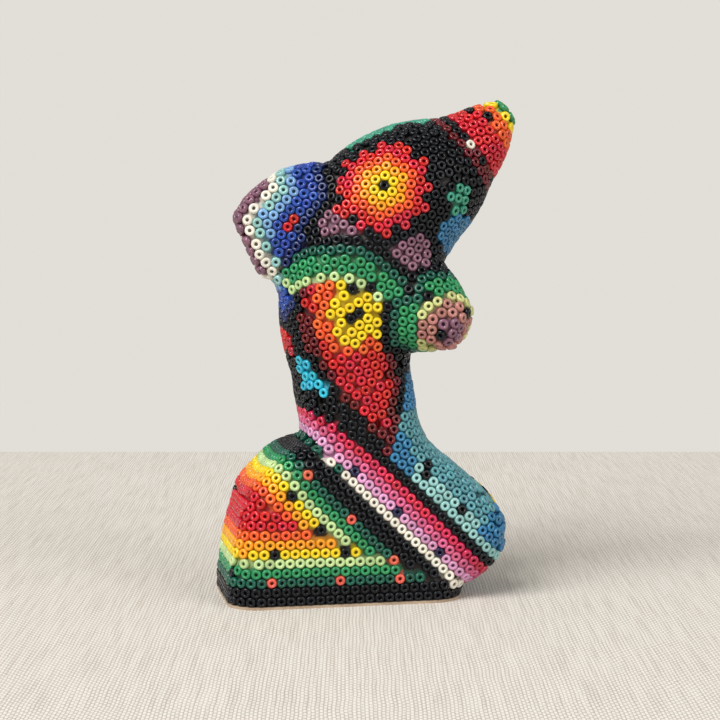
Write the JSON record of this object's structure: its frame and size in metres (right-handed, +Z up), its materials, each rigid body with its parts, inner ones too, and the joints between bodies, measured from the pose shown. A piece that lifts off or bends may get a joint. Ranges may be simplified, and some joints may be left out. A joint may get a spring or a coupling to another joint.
{
  "type": "beaded animal figure",
  "caption": "Small dolphin-like wooden figure on a wedge foot, coated in beeswax and covered all over with coloured glass seed beads.",
  "frame": {"origin": "centre of the foot's underside", "axes": "+Z up, +X towards the side the beak points to, +Y away from the viewer"},
  "size_m": [0.0673, 0.0419, 0.1106],
  "materials": {
    "carved_wood": "bare, knife carved",
    "beeswax": "dark beeswax",
    "board": "bare thin board",
    "glass_amber": "opaque glossy glass",
    "glass_aqua": "opaque glossy glass",
    "glass_azure": "opaque glossy glass",
    "glass_black": "opaque glossy glass",
    "glass_blue": "opaque glossy glass",
    "glass_coral": "opaque glossy glass",
    "glass_crimson": "opaque glossy glass",
    "glass_cyan": "opaque glossy glass",
    "glass_dark_blue": "opaque glossy glass",
    "glass_dark_green": "opaque glossy glass",
    "glass_dark_red": "opaque glossy glass",
    "glass_green": "opaque glossy glass",
    "glass_lilac": "opaque glossy glass",
    "glass_mauve": "opaque glossy glass",
    "glass_navy": "opaque glossy glass",
    "glass_orange": "opaque glossy glass",
    "glass_pale_green": "opaque glossy glass",
    "glass_pale_yellow": "opaque glossy glass",
    "glass_peach": "opaque glossy glass",
    "glass_pink": "opaque glossy glass",
    "glass_red": "opaque glossy glass",
    "glass_sea_green": "opaque glossy glass",
    "glass_sky": "opaque glossy glass",
    "glass_teal": "opaque glossy glass",
    "glass_white": "opaque glossy glass",
    "glass_yellow": "opaque glossy glass"
  },
  "bodies": {
    "root": {"band_crimson_beads": "glass_crimson", "band_lilac_beads": "glass_lilac", "band_navy_beads": "glass_navy", "band_pink_beads": "glass_pink", "beak_dark_red_beads": "glass_dark_red", "beak_green_beads": "glass_green", "beak_orange_beads": "glass_orange", "beak_red_beads": "glass_red", "beak_yellow_beads": "glass_yellow", "body_core": "carved_wood", "bottom_board": "board", "chest_cyan_beads": "glass_cyan", "chest_dark_green_beads": "glass_dark_green", "chest_dark_red_beads": "glass_dark_red", "chest_green_beads": "glass_green", "chest_orange_beads": "glass_orange", "chest_pale_green_beads": "glass_pale_green", "chest_red_beads": "glass_red", "chest_yellow_beads": "glass_yellow", "dorsal_fin_aqua_beads": "glass_aqua", "dorsal_fin_blue_beads": "glass_blue", "dorsal_fin_core": "carved_wood", "dorsal_fin_dark_blue_beads": "glass_dark_blue", "dorsal_fin_mauve_beads": "glass_mauve", "dorsal_fin_red_beads": "glass_red", "dorsal_fin_sky_beads": "glass_sky", "far_flipper_core": "carved_wood", "far_fluke_core": "carved_wood", "flipper_dark_green_beads": "glass_dark_green", "flipper_green_beads": "glass_green", "flipper_mauve_beads": "glass_mauve", "flipper_pale_yellow_beads": "glass_pale_yellow", "flipper_peach_beads": "glass_peach", "flower_amber_beads": "glass_amber", "flower_orange_beads": "glass_orange", "flower_red_beads": "glass_red", "flower_yellow_beads": "glass_yellow", "foot_amber_beads": "glass_amber", "foot_coral_beads": "glass_coral", "foot_core": "carved_wood", "foot_dark_green_beads": "glass_dark_green", "foot_green_beads": "glass_green", "foot_orange_beads": "glass_orange", "foot_pale_green_beads": "glass_pale_green", "foot_red_beads": "glass_red", "foot_yellow_beads": "glass_yellow", "ground_black_beads": "glass_black", "head_azure_beads": "glass_azure", "head_mauve_beads": "glass_mauve", "head_sea_green_beads": "glass_sea_green", "near_flipper_core": "carved_wood", "near_fluke_core": "carved_wood", "row_white_beads": "glass_white", "tail_aqua_beads": "glass_aqua", "tail_azure_beads": "glass_azure", "tail_core": "carved_wood", "tail_teal_beads": "glass_teal", "tail_yellow_beads": "glass_yellow", "wax_coat": "beeswax"}
  },
  "joints": []
}
